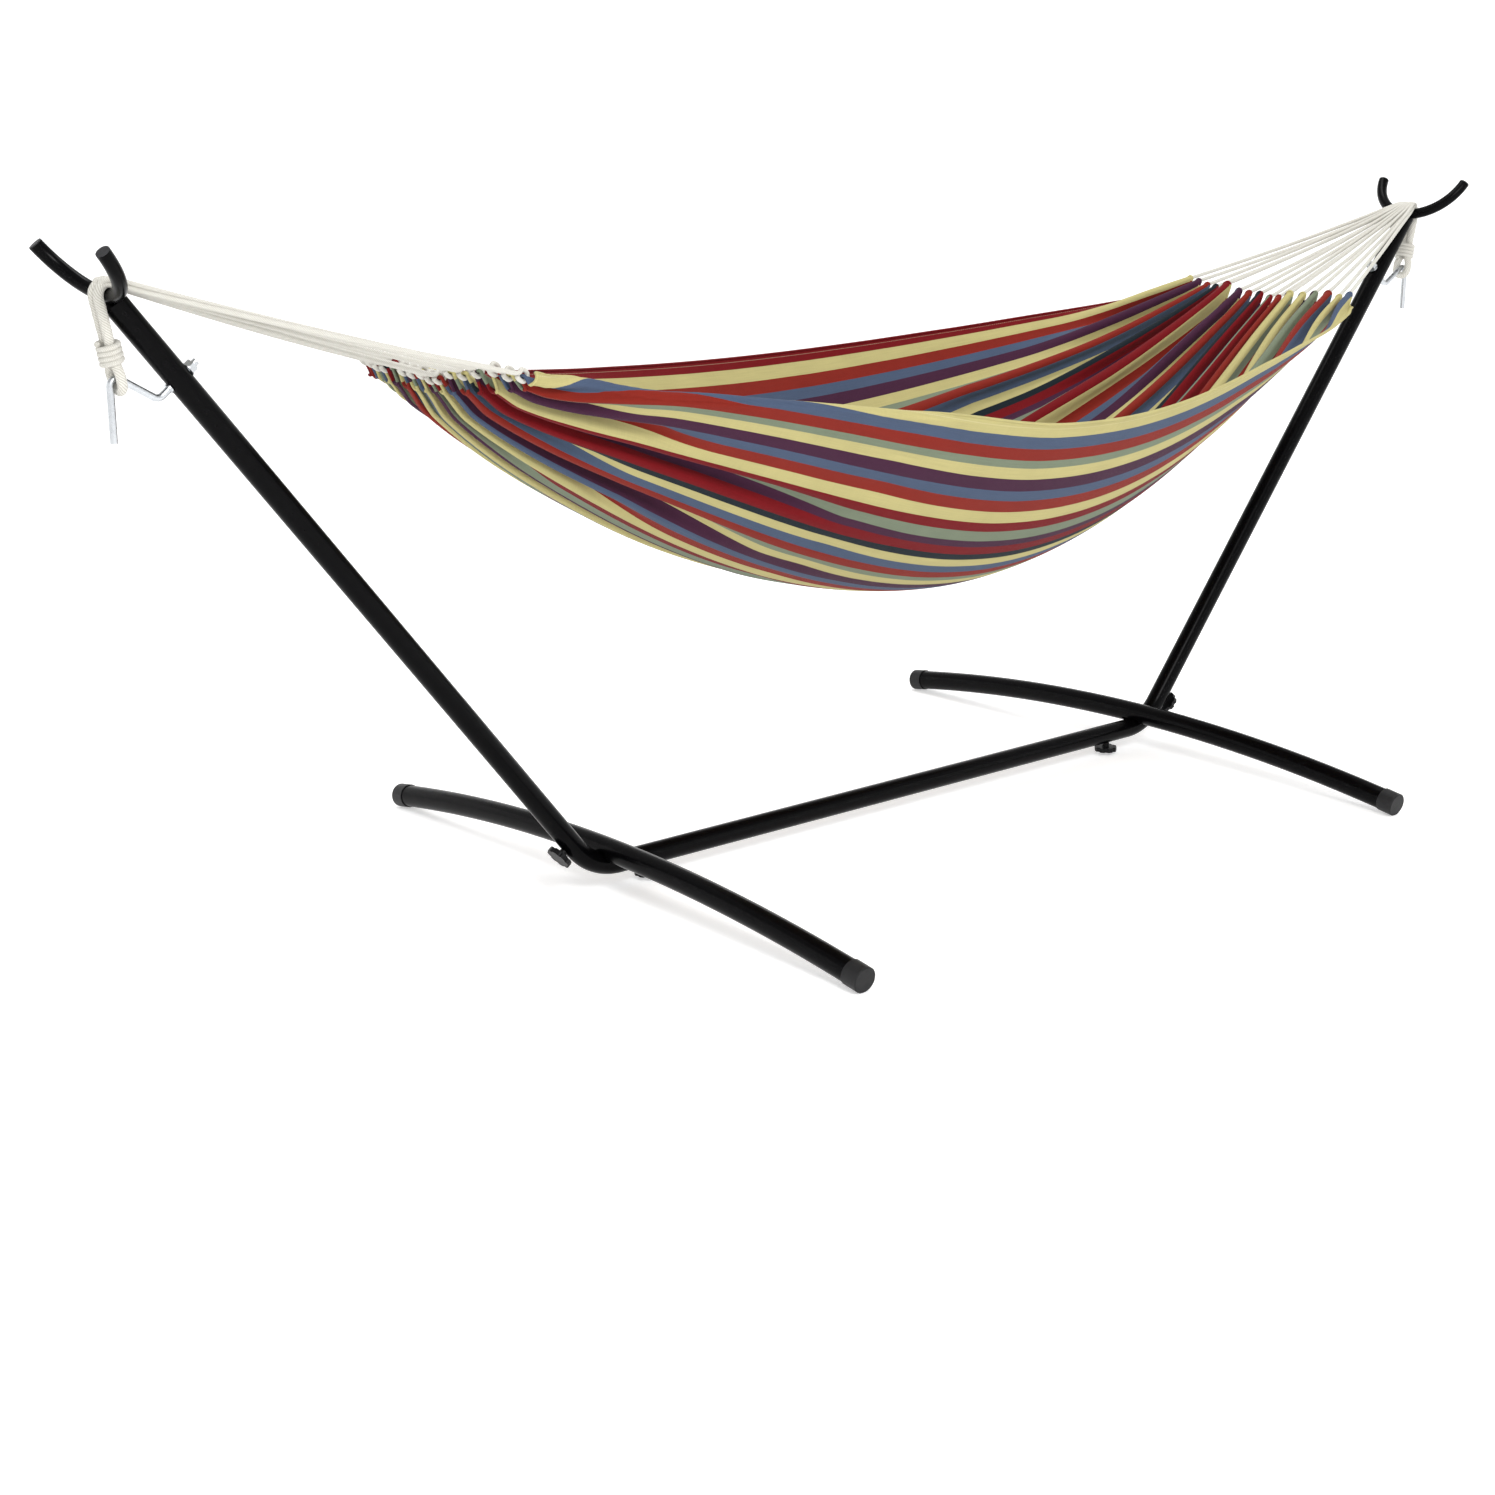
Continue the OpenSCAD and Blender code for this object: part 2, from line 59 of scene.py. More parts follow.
ARM_ANGLE = math.radians(51.2)
ARM_DIR = np.array([math.cos(ARM_ANGLE), math.sin(ARM_ANGLE)])
CORNER = np.array([0.6735, 0.040])
CRADLE = CORNER + 1.210 * ARM_DIR
CRADLE_ROD_R = 0.010
ROPE_D = 0.014
ROPE_TURN_R = CRADLE_ROD_R + ROPE_D / 2 + 0.0008
EYE_R = 0.013
EYE = np.array([1.4280, 0.873])
WHIPPING_TOP = 0.053
WHIPPING_LENGTH = 0.037
WHIPPING_TURNS = 5

# ---- The hammock's numbers ----

CORDS = 16
CORD_D = 0.007
BED_HALF = 0.975
MIDDLE_HALF_WIDTH = 0.475
# Distance from the middle line to each corner of the cloth: far and near, at the left and the right end
GATHER_FAR = {-1: 0.165, 1: 0.210}
GATHER_NEAR = {-1: 0.225, 1: 0.210}
# How far each corner lies from its plain place, along X and Z
CORNER_FAR = {-1: (0.020, -0.006), 1: (0.020, 0.010)}
CORNER_NEAR = {-1: (0.040, 0.011), 1: (0.000, 0.004)}
GATHER_RIM_Z, MIDDLE_RIM_Z = 0.848, 0.754
GATHER_LOW_Z, MIDDLE_LOW_Z = 0.837, 0.411
# Powers that shape the cloth's lowest line, at the left and the right of the middle
LOW_POWERS = {-1: (1.8, 0.90), 1: (1.9, 1.05)}
# The near rim is a little lower right of the middle and higher left of it
NEAR_RIM_WAVE = 0.010
# Powers that shape the section, at the middle and at a gather
MIDDLE_POWER, GATHER_POWER = 2.2, 1.6
CLOTH_WIDTH, CLOTH_LENGTH = 1.235, 2.06
CLOTH_THICK = 0.0012
# Share of the spare width that pleats take up at a gather, and where along the half length that grows
FOLDED, FOLDED_FROM, FOLDED_TO = 0.92, 0.28, 0.92
# How many times the order of the stripes repeats across the cloth
STRIPE_REPEATS = 3.743


def smooth(a, b, x):
    """0 below a, 1 above b and a smooth step between them."""
    t = np.clip((np.asarray(x, float) - a) / (b - a), 0, 1)
    return t * t * (3 - 2 * t)


# ---- Camera ----

YAW, PITCH = 0.7131, 0.2750


def make_camera():
    data = bpy.data.cameras.new("camera")
    data.sensor_width = 36
    data.lens = 57.35
    camera = bpy.data.objects.new("camera", data)
    SCENE.collection.objects.link(camera)
    camera.location = (-2.839, -2.881, 1.2547)
    camera.rotation_euler = (math.pi / 2 - PITCH, 0, -YAW)
    SCENE.camera = camera


make_camera()

# ---- Material helpers ----


def srgb(text):
    """Linear colour of a hex code."""
    parts = [int(text[i:i + 2], 16) / 255 for i in (0, 2, 4)]
    return tuple(c / 12.92 if c <= 0.04045 else ((c + 0.055) / 1.055) ** 2.4 for c in parts) + (1.0,)


class Material:
    """A Principled material and the few node helpers that the materials share."""

    def __init__(self, name, color, roughness, **sockets):
        self.material = bpy.data.materials.new(name)
        self.material.use_nodes = True
        self.tree = self.material.node_tree
        self.bsdf = self.tree.nodes["Principled BSDF"]
        self.material.diffuse_color = color
        self.set("Base Color", color)
        self.set("Roughness", roughness)
        for socket, value in sockets.items():
            self.set(socket.replace("_", " "), value)

    def set(self, socket, value):
        self.bsdf.inputs[socket].default_value = value

    def node(self, kind, inputs=(), **settings):
        n = self.tree.nodes.new(kind)
        for key, value in settings.items():
            setattr(n, key, value)
        for key, value in dict(inputs).items():
            if isinstance(value, bpy.types.NodeSocket):
                self.tree.links.new(value, n.inputs[key])
            else:
                n.inputs[key].default_value = value
        return n

    def link(self, output, socket):
        self.tree.links.new(output, self.bsdf.inputs[socket])

    def math(self, operation, a, b=0.0, c=0.0):
        return self.node("ShaderNodeMath", {0: a, 1: b, 2: c}, operation=operation).outputs[0]

    def place(self):
        return self.node("ShaderNodeTexCoord").outputs["Object"]

    def uv(self):
        n = self.node("ShaderNodeUVMap", uv_map="cloth")
        s = self.node("ShaderNodeSeparateXYZ", {0: n.outputs[0]})
        return n.outputs[0], s.outputs[0], s.outputs[1]

    def noise(self, vector, scale, detail=2.0, roughness=0.5):
        inputs = {"Vector": vector, "Scale": scale, "Detail": detail, "Roughness": roughness}
        return self.node("ShaderNodeTexNoise", inputs).outputs[0]

    def between(self, factor, low, high, start=0.0, end=1.0):
        """Maps the range from start to end to the range from low to high."""
        return self.node("ShaderNodeMapRange", {0: factor, 1: start, 2: end, 3: low, 4: high}).outputs[0]

    def mix(self, factor, a, b, blend="MIX"):
        n = self.node("ShaderNodeMix", data_type="RGBA", blend_type=blend)
        for i, value in ((0, factor), (6, a), (7, b)):
            if isinstance(value, bpy.types.NodeSocket):
                self.tree.links.new(value, n.inputs[i])
            else:
                n.inputs[i].default_value = value
        return n.outputs[2]

    def bump(self, height, strength, distance, below=None):
        n = self.node("ShaderNodeBump", {"Height": height, "Strength": strength, "Distance": distance})
        if below is not None:
            self.tree.links.new(below, n.inputs["Normal"])
        return n.outputs[0]


# ---- Materials ----


def powder_coat():
    """Gloss black powder coat with a fine orange peel."""
    m = Material("powder_coat_black", srgb("040405"), 0.2, Specular_IOR_Level=0.06)
    p = m.place()
    m.link(m.bump(m.noise(p, 420, 3), 0.10, 0.0004), "Normal")
    m.link(m.between(m.noise(p, 55, 4), 0.15, 0.30), "Roughness")
    m.link(m.mix(m.noise(p, 130, 4), srgb("020203"), srgb("070708")), "Base Color")
    return m.material


def moulded_plastic(name, dark, light, roughness, grain):
    m = Material(name, srgb(dark), roughness, Specular_IOR_Level=0.14)
    p = m.place()
    m.link(m.mix(m.noise(p, 90, 4), srgb(dark), srgb(light)), "Base Color")
    m.link(m.between(m.noise(p, 300, 3), roughness - 0.07, roughness + 0.1), "Roughness")
    m.link(m.bump(m.noise(p, grain, 4, 0.7), 0.25, 0.0004), "Normal")
    return m.material


def zinc():
    """Bright zinc plate with faint drawing marks and duller patches."""
    m = Material("zinc_plate", srgb("c6c9cc"), 0.28, Metallic=1.0)
    p = m.place()
    m.link(m.mix(m.noise(p, 70, 5), srgb("b4b8bc"), srgb("d2d5d8")), "Base Color")
    m.link(m.between(m.noise(p, 160, 5), 0.18, 0.38), "Roughness")
    m.link(m.bump(m.noise(p, 900, 2), 0.06, 0.0002), "Normal")
    return m.material


def cotton(name, hatch_pitch, slant):
    """Off-white twisted cotton, with painted shade in the grooves between the yarns. The mesh's own UV runs
    along and round each cord, in metres.
    """
    m = Material(name, srgb("e6e2d6"), 0.9, Specular_IOR_Level=0.25)
    m.set("Sheen Weight", 0.15)
    m.set("Sheen Roughness", 0.5)
    _, along, around = m.uv()
    slanted = m.math("MULTIPLY_ADD", around, slant, along)
    yarn = m.math("SINE", m.math("MULTIPLY", slanted, 2 * math.pi / hatch_pitch))
    fibre = m.noise(m.place(), 1500, 3, 0.6)
    patch = m.noise(m.place(), 60, 3)
    light = m.mix(patch, srgb("cbc8bf"), srgb("d8d7d1"))
    # The grooves between the yarns get a darker colour (aca89c): painted shade in the twist, on top of the
    # bump
    m.link(m.mix(m.between(yarn, 0.0, 1.0, -1.0, -0.2), srgb("aca89c"), light), "Base Color")
    under = m.bump(fibre, 0.3, 0.0005)
    m.link(m.bump(yarn, 0.40, 0.0006, under), "Normal")
    return m.material


# One repeat of the stripes, from the far rim inwards: colour and relative width
YELLOW, BRICK, SLATE, PLUM = "b2a973", "7b2117", "445168", "3e1d34"
SAGE, NAVY, CRIMSON = "707a66", "121c23", "6b0810"
STRIPES = [
    (CRIMSON, 0.95), (YELLOW, 1.20), (BRICK, 1.15), (SLATE, 1.00), (PLUM, 1.15), (YELLOW, 1.05), (SAGE, 0.70),
    (BRICK, 1.05), (SLATE, 1.00), (YELLOW, 1.05), (NAVY, 0.75), (CRIMSON, 1.00), (PLUM, 0.80), (SAGE, 1.15),
]
STITCH_IN, STITCH_HALF, STITCH_PITCH = 0.0085, 0.0005, 0.0042


def striped_cloth():
    """Woven stripes along the cloth. UV is a place on the flat cloth: across from the far rim, and along."""
    m = Material("striped_cotton", srgb(BRICK), 0.9, Specular_IOR_Level=0.12)
    m.set("Sheen Weight", 0.04)
    m.set("Sheen Roughness", 0.55)
    vector, across, along = m.uv()
    wander = m.math("MULTIPLY_ADD", m.noise(m.place(), 9, 2), 0.0016, -0.0008)
    place = m.math("MULTIPLY", m.math("ADD", across, wander), STRIPE_REPEATS / CLOTH_WIDTH)
    ramp = m.node("ShaderNodeValToRGB", {0: m.math("FRACT", place)})
    ramp.color_ramp.interpolation = "CONSTANT"
    total = sum(width for _, width in STRIPES)
    at = 0.0
    for i, (color, width) in enumerate(STRIPES):
        element = ramp.color_ramp.elements[0] if i == 0 else ramp.color_ramp.elements.new(at)
        element.position = at
        element.color = srgb(color)
        at += width / total
    last = ramp.color_ramp.elements[len(STRIPES)]
    last.position, last.color = 1.0, srgb(STRIPES[0][0])

    # Threads: fine ribs both ways, thick and thin yarns along the stripes, and a soft mottle
    warp = m.math("SINE", m.math("MULTIPLY", across, 2 * math.pi / 0.0013))
    weft = m.math("SINE", m.math("MULTIPLY", along, 2 * math.pi / 0.0011))
    weave = m.math("MULTIPLY", warp, weft)
    stretched = m.node("ShaderNodeMapping", {0: vector, 3: (900.0, 14.0, 1.0)}).outputs[0]
    slub = m.noise(stretched, 1.0, 2)
    crossing = m.node("ShaderNodeMapping", {0: vector, 3: (25.0, 700.0, 1.0)}).outputs[0]
    pick = m.noise(crossing, 1.0, 2)
    mottle = m.noise(m.place(), 14, 4)
    shade = m.math("ADD", m.between(slub, 0.80, 1.12), m.between(pick, -0.07, 0.07))
    shade = m.math("ADD", shade, m.between(mottle, -0.08, 0.08))
    shade = m.math("ADD", shade, m.math("MULTIPLY", weave, 0.03))
    grey = m.node("ShaderNodeCombineColor", {0: shade, 1: shade, 2: shade}).outputs[0]
    woven = m.mix(1.0, ramp.outputs[0], grey, "MULTIPLY")

    # A row of stitches along each long edge
    half = CLOTH_WIDTH / 2
    edge = m.math("SUBTRACT", half, m.math("ABSOLUTE", m.math("SUBTRACT", across, half)))
    near = m.math("LESS_THAN", m.math("ABSOLUTE", m.math("SUBTRACT", edge, STITCH_IN)), STITCH_HALF)
    dash = m.math("LESS_THAN", m.math("FRACT", m.math("DIVIDE", along, STITCH_PITCH)), 0.7)
    stitch = m.math("MULTIPLY", m.math("MULTIPLY", near, dash), 0.4)
    m.link(m.mix(stitch, woven, srgb("d8d2b0")), "Base Color")
    m.link(m.between(slub, 0.80, 0.95), "Roughness")
    height = m.math("ADD", m.math("MULTIPLY", weave, 0.35), m.math("MULTIPLY", slub, 0.6))
    height = m.math("ADD", height, m.math("MULTIPLY", stitch, 1.2))
    m.link(m.bump(height, 0.45, 0.0006), "Normal")
    return m.material


MATERIALS = {
    "black_powder_coat": powder_coat(),
    "cap_plastic": moulded_plastic("cap_plastic", "1d1d1e", "262627", 0.42, 700),
    "knob_plastic": moulded_plastic("knob_plastic", "0b0b0c", "131314", 0.38, 800),
    "plug_plastic": moulded_plastic("plug_plastic", "28282a", "343436", 0.50, 900),
    "zinc_plate": zinc(),
    "inner_steel": zinc(),
    "cotton_rope": cotton("cotton_rope", 0.0024, 0.9),
    "striped_cotton": striped_cloth(),
}
THICK_ROPE = cotton("cotton_rope_thick", 0.0040, 0.9)


def dress_frame():
    """Gives every CAD node the material of its slot in the record."""
    slots = {part["node"]: part["material_slot"] for part in frame["record"]["subparts"]}
    for name, node in frame["nodes"].items():
        node.data.materials.clear()
        node.data.materials.append(MATERIALS[slots[name]])


dress_frame()

# ---- Mesh helpers ----


def make_mesh(name, points, faces, uvs, material):
    """A smooth mesh piece. uvs holds one (u, v) for each vertex."""
    mesh = bpy.data.meshes.new(name)
    mesh.from_pydata(points.tolist(), [], [list(map(int, face)) for face in faces])
    layer = mesh.uv_layers.new(name="cloth")
    loops = np.zeros(len(mesh.loops), np.int32)
    mesh.loops.foreach_get("vertex_index", loops)
    layer.data.foreach_set("uv", uvs[loops].astype(np.float32).ravel())
    mesh.polygons.foreach_set("use_smooth", np.ones(len(mesh.polygons), bool))
    mesh.materials.append(material)
    mesh.update()
    piece = bpy.data.objects.new(name, mesh)
    SCENE.collection.objects.link(piece)
    return piece


def resample(path, step):
    """Points at an even step along a path."""
    path = np.asarray(path, float)
    at = np.r_[0, np.cumsum(np.linalg.norm(np.diff(path, axis=0), axis=1))]
    count = max(3, int(round(at[-1] / step)) + 1)
    want = np.linspace(0, at[-1], count)
    return np.stack([np.interp(want, at, path[:, i]) for i in range(3)], 1)


def catmull(points, per=12):
    """A smooth curve through points."""
    p = np.asarray(points, float)
    p = np.vstack([2 * p[0] - p[1], p, 2 * p[-1] - p[-2]])
    out = []
    for a, b, c, d in zip(p[:-3], p[1:-2], p[2:-1], p[3:]):
        for t in np.linspace(0, 1, per, endpoint=False):
            out.append(0.5 * (2 * b + (c - a) * t + (2 * a - 5 * b + 4 * c - d) * t ** 2
                              + (3 * b - a - 3 * c + d) * t ** 3))
    return np.array(out + [p[-2]])


def path_frames(path):
    """Two unit normals at each point of a path, carried along without twist."""
    tangent = np.gradient(path, axis=0)
    tangent /= np.linalg.norm(tangent, axis=1)[:, None]
    start = np.array([0, 0, 1.0]) if abs(tangent[0, 2]) < 0.9 else np.array([0, 1.0, 0])
    n = start - tangent[0] * (start @ tangent[0])
    first = [n / np.linalg.norm(n)]
    for t in tangent[1:]:
        n = first[-1] - t * (first[-1] @ t)
        first.append(n / np.linalg.norm(n))
    first = np.array(first)
    return first, np.cross(tangent, first)


def tube_arrays(path, radius, sides, oval=(1.0, 1.0)):
    """Points, faces and UVs of a closed tube. radius(distance, angle) gives its surface."""
    n1, n2 = path_frames(path)
    at = np.r_[0, np.cumsum(np.linalg.norm(np.diff(path, axis=0), axis=1))]
    angle = np.linspace(0, 2 * math.pi, sides, endpoint=False)
    r = radius(at[:, None], angle[None, :]) * np.ones((len(path), sides))
    ring = (n1[:, None] * (oval[0] * np.cos(angle) * r)[:, :, None]
            + n2[:, None] * (oval[1] * np.sin(angle) * r)[:, :, None])
    points = (path[:, None] + ring).reshape(-1, 3)
    i = np.arange(len(path) - 1)[:, None] * sides
    j = np.arange(sides)[None, :]
    k = (j + 1) % sides
    faces = np.stack([i + j, i + k, i + sides + k, i + sides + j], -1).reshape(-1, 4)
    uv = np.stack([at[:, None] + 0 * angle, angle * r.mean() + 0 * at[:, None]], -1).reshape(-1, 2)
    last = len(points) - sides
    points = np.vstack([points, path[0], path[-1]])
    uv = np.vstack([uv, [0, 0], [at[-1], 0]])
    j = np.arange(sides)
    k = (j + 1) % sides
    head, tail = len(points) - 2, len(points) - 1
    fans = np.r_[np.stack([k, j, j * 0 + head], 1), np.stack([last + j, last + k, j * 0 + tail], 1)]
    return points, [*faces, *fans], uv


def tube(name, path, radius, sides, material, oval=(1.0, 1.0)):
    points, faces, uv = tube_arrays(path, radius, sides, oval)
    return make_mesh(name, points, faces, uv, material)


def laid_rope(diameter, strands, pitch, depth=0.13):
    """The surface of a rope of some strands that wind round it once in each pitch."""
    def radius(at, angle):
        lobes = np.abs(np.cos(strands / 2 * (angle - 2 * math.pi * at / pitch)))
        return diameter / 2 * (1 - depth + depth * lobes ** 0.7)
    return radius


# ---- The cloth's surface ----
# A place on the cloth is u, from -1 at the left gather to 1 at the right one, and across, from -1 at the near
# rim to 1 at the far one.

# Where each pleat begins, as a share of the half length from the middle, from the near rim to the far one
FOLD_STARTS = {
    -1: (0.62, 0.80, 0.66, 0.40, 0.74, 0.46, 0.60, 0.78, 0.38, 0.72, 0.48, 0.70, 0.42, 0.68, 0.36, 0.58),
    1: (0.86, 0.74, 0.62, 0.50, 0.66, 0.45, 0.58, 0.40, 0.62, 0.46, 0.64, 0.42, 0.56, 0.26, 0.62, 0.72),
}
FOLD_RUN = 0.30
STEEPEST = 2.05
# How firmly each pleat keeps to its own share of the section
PLEAT_HOLD = 0.85
# The near rim curls inwards along the left half: the widest curl, where it begins and is widest, its radius
# and the angle through which it turns
CURL, CURL_FROM, CURL_TO, CURL_R, CURL_TURN = 0.080, 0.12, 0.87, 0.007, 2.75
# How far the crest of a pleat stands out past its valleys at the gather
CREST_REACH = 0.012
# Steps of the pleats' slopes in each step of the mesh
FINE = 3


def end_of(u):
    return -1 if u < 0 else 1


def rim_half_width(u, far):
    """Distance from the middle line to the near or the far rim."""
    end = (GATHER_FAR if far else GATHER_NEAR)[end_of(u)]
    return end + (MIDDLE_HALF_WIDTH - end) * math.cos(math.pi / 2 * abs(u)) ** 1.1


def rim_height(u, far):
    plain = GATHER_RIM_Z - (GATHER_RIM_Z - MIDDLE_RIM_Z) * math.cos(math.pi / 2 * abs(u))
    return plain if far else plain - NEAR_RIM_WAVE * math.cos(2 * math.pi * (u + 0.06) / 1.15) * (1 - u ** 4)


def low_height(u):
    first, second = LOW_POWERS[end_of(u)]
    return GATHER_LOW_Z - (GATHER_LOW_Z - MIDDLE_LOW_Z) * (1 - abs(u) ** first) ** second


def plain_section(u):
    """The section without folds: its points (y, z) and the length along it at each point."""
    s = np.linspace(-1, 1, 801)
    y = np.where(s < 0, rim_half_width(u, False), rim_half_width(u, True)) * s
    rim = np.where(s < 0, rim_height(u, False), rim_height(u, True))
    power = MIDDLE_POWER + (GATHER_POWER - MIDDLE_POWER) * u * u
    z = low_height(u) + (rim - low_height(u)) * np.abs(s) ** power
    at = np.r_[0, np.cumsum(np.hypot(np.diff(y), np.diff(z)))]
    return np.stack([y, z], 1), at


def pleat_place(across):
    """The pleats' own scale, from 0 to 16, which makes some pleats wider than others."""
    across = np.asarray(across, float)
    edge = 1 - across ** 8
    uneven = 0.17 * np.sin(6.9 * across + 0.4) + 0.07 * np.sin(17.0 * across + 2.0)
    return CORDS * (across + 1) / 2 + uneven * edge


def curl_width(u):
    """How much of the cloth at the near rim is curled in at u."""
    grown = float(np.clip((-u - CURL_FROM) / (CURL_TO - CURL_FROM), 0, 1)) ** 1.4
    return CURL * grown * (1 - 0.7 * float(smooth(0.75, 1.0, -u)))


def pleat_slopes(u, across, room, curled):
    """Slopes of the pleats against the plain section, at fine steps between the places across.

    Each slope swings like a sine within its pleat, and grows towards the gather until the pleats take up the
    width that the plain section, which is room long, has no space for. Also gives the width so used and the
    steps that are not curled in.
    """
    steps = (len(across) - 1) * FINE
    middle = -1 + 2 * (np.arange(steps) + 0.5) / steps
    place = pleat_place(middle)
    starts = np.array(FOLD_STARTS[end_of(u)])[np.clip(place.astype(int), 0, CORDS - 1)]
    growth = smooth(starts, np.minimum(starts + FOLD_RUN, 1.0), abs(u)) + 0.05 * abs(u)
    flat = middle > curled
    swing = np.sin(2 * math.pi * place) * flat
    width = room + (CLOTH_WIDTH - room) * FOLDED * float(smooth(FOLDED_FROM, FOLDED_TO, abs(u)))
    low, high = 0.0, 60.0
    for _ in range(26):
        scale = (low + high) / 2
        if np.cos(np.minimum(scale * growth, STEEPEST) * swing).mean() > room / width:
            low = scale
        else:
            high = scale
    return np.minimum(low * growth, STEEPEST) * swing, width, flat


def section(u, across):
    """Points (x, y, z) of the folded cloth at u. Each pleat is a bump towards the inside."""
    plain, at = plain_section(u)
    room = at[-1]
    tangent = np.gradient(plain, axis=0)
    tangent /= np.linalg.norm(tangent, axis=1)[:, None]
    normal = np.stack([-tangent[:, 1], tangent[:, 0]], 1)

    curled = curl_width(u) / CLOTH_WIDTH * 2 - 1
    slope, width, flat = pleat_slopes(u, across, room, curled)
    along = np.r_[0, np.cumsum(np.cos(slope) * flat)][::FINE]
    along *= room / along[-1]
    rise = np.r_[0, np.cumsum(np.sin(slope)) * width / len(slope)][::FINE]
    # Each pleat keeps to its own share of the section, so that the stripes run on without kinks
    knots = np.interp(np.arange(CORDS + 1), pleat_place(across), across)
    goal = np.clip((knots - curled) / (1 - curled), 0, 1) * room
    pull = np.interp(across, knots, goal - np.interp(knots, across, along))
    along = along + PLEAT_HOLD * pull * (across > curled)
    along = np.maximum.accumulate(np.clip(along, 0, room))
    rise = rise - np.interp(across, knots, np.interp(knots, across, rise))
    rise = rise - rise.mean()
    y = np.interp(along, at, plain[:, 0]) + rise * np.interp(along, at, normal[:, 0])
    z = np.interp(along, at, plain[:, 1]) + rise * np.interp(along, at, normal[:, 1])

    if curled > -1:
        past = (curled - across[across < curled]) / 2 * CLOTH_WIDTH
        turn = np.minimum(past / CURL_R, CURL_TURN)
        back = CURL_R * np.sin(turn) + (past - turn * CURL_R) * np.cos(turn)
        inside = CURL_R * (1 - np.cos(turn)) + (past - turn * CURL_R) * np.sin(turn)
        first = len(past)
        inside = inside + np.interp(curled, across, rise)
        y[:first] = plain[0, 0] - tangent[0, 0] * back + normal[0, 0] * inside
        z[:first] = plain[0, 1] - tangent[0, 1] * back + normal[0, 1] * inside

    end = end_of(u)
    near, far = np.clip(-across, 0, 1) ** 2 * abs(u) ** 4, np.clip(across, 0, 1) ** 2 * abs(u) ** 4
    out = CORNER_NEAR[end][0] * near + CORNER_FAR[end][0] * far
    up = CORNER_NEAR[end][1] * near + CORNER_FAR[end][1] * far
    crest = (1 - np.cos(2 * math.pi * pleat_place(across))) / 2
    reach = CREST_REACH * (crest - 1) * smooth(0.95, 1.0, abs(u)) * end
    return np.stack([BED_HALF * u + out + reach, y, z + up], 1)


ROWS, COLUMNS = 200, CORDS * 30


def cloth_grid():
    """The cloth's middle surface, denser towards the gathers, and each point's place on the flat cloth."""
    t = np.linspace(-1, 1, ROWS + 1)
    u = np.sin(math.pi / 2 * t) * 0.55 + t * 0.45
    across = np.linspace(-1, 1, COLUMNS + 1)
    grid = np.array([section(v, across) for v in u])
    flat_across = (1 - across) / 2 * CLOTH_WIDTH
    flat_along = u * CLOTH_LENGTH / 2
    uv = np.stack(np.broadcast_arrays(flat_across[None, :], flat_along[:, None]), -1)
    return grid, uv, across


def make_cloth(grid, uv):
    rows, columns = grid.shape[:2]
    i = np.arange(rows - 1)[:, None] * columns
    j = np.arange(columns - 1)[None, :]
    faces = np.stack([i + j, i + columns + j, i + columns + j + 1, i + j + 1], -1).reshape(-1, 4)
    cloth = make_mesh("cloth", grid.reshape(-1, 3), faces, uv.reshape(-1, 2), MATERIALS["striped_cotton"])
    solid = cloth.modifiers.new("thickness", "SOLIDIFY")
    solid.thickness = CLOTH_THICK
    solid.offset = 0
    return cloth


def apply_modifiers(piece):
    graph = bpy.context.evaluated_depsgraph_get()
    mesh = bpy.data.meshes.new_from_object(piece.evaluated_get(graph))
    piece.modifiers.clear()
    old = piece.data
    piece.data = mesh
    bpy.data.meshes.remove(old)


def edge_tube(name, line, flat_uv, half_width, half_height, sides=10):
    """A hem along an edge of the cloth. Its UV stays at the edge's own place, so it shows the same stripe."""
    points, faces, _ = tube_arrays(line, lambda at, angle: half_width + 0 * at * angle, sides,
                                   (half_height / half_width, 1.0))
    uv = np.vstack([np.repeat(flat_uv, sides, axis=0), flat_uv[:1], flat_uv[-1:]])
    return make_mesh(name, points, faces, uv, MATERIALS["striped_cotton"])


grid, flat_uv, ACROSS = cloth_grid()
cloth = make_cloth(grid, flat_uv)
apply_modifiers(cloth)

# The stripe that a long hem shows lies this far in from the edge
HEM_INSET = np.array([0.003, 0.0])
LONG_HEM, GATHER_HEM = (0.0034, 0.0022), (0.0026, 0.0026)
hems = [
    edge_tube("hem_front_edge", grid[:, 0], flat_uv[:, 0] - HEM_INSET, *LONG_HEM),
    edge_tube("hem_back_edge", grid[:, -1], flat_uv[:, -1] + HEM_INSET, *LONG_HEM),
    edge_tube("gather_hem_left", grid[0], flat_uv[0], *GATHER_HEM),
    edge_tube("gather_hem_right", grid[-1], flat_uv[-1], *GATHER_HEM),
]
for piece in [cloth, *hems]:
    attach(piece, "hammock")
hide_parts("hammock_bed")
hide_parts("hem_front")
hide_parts("hem_back")

# ---- Ropes ----


def rope_line():
    """Where the hanging rope leaves the cradle, the way down, and how far the eye's middle is."""
    drop = EYE - CRADLE
    length = math.sqrt(drop @ drop - ROPE_TURN_R ** 2)
    lean = -math.acos(ROPE_TURN_R / np.linalg.norm(drop)) - math.atan2(drop[1], drop[0])
    start = CRADLE + ROPE_TURN_R * np.array([math.cos(lean), -math.sin(lean)])
    down = np.array([-math.sin(lean), -math.cos(lean)])
    return start, down, length, lean


ROPE_START, ROPE_DOWN, ROPE_LENGTH, ROPE_LEAN = rope_line()


def at_side(side, x, y, z):
    return np.stack(np.broadcast_arrays(SIDES[side] * np.asarray(x, float), y, z), -1).astype(float)


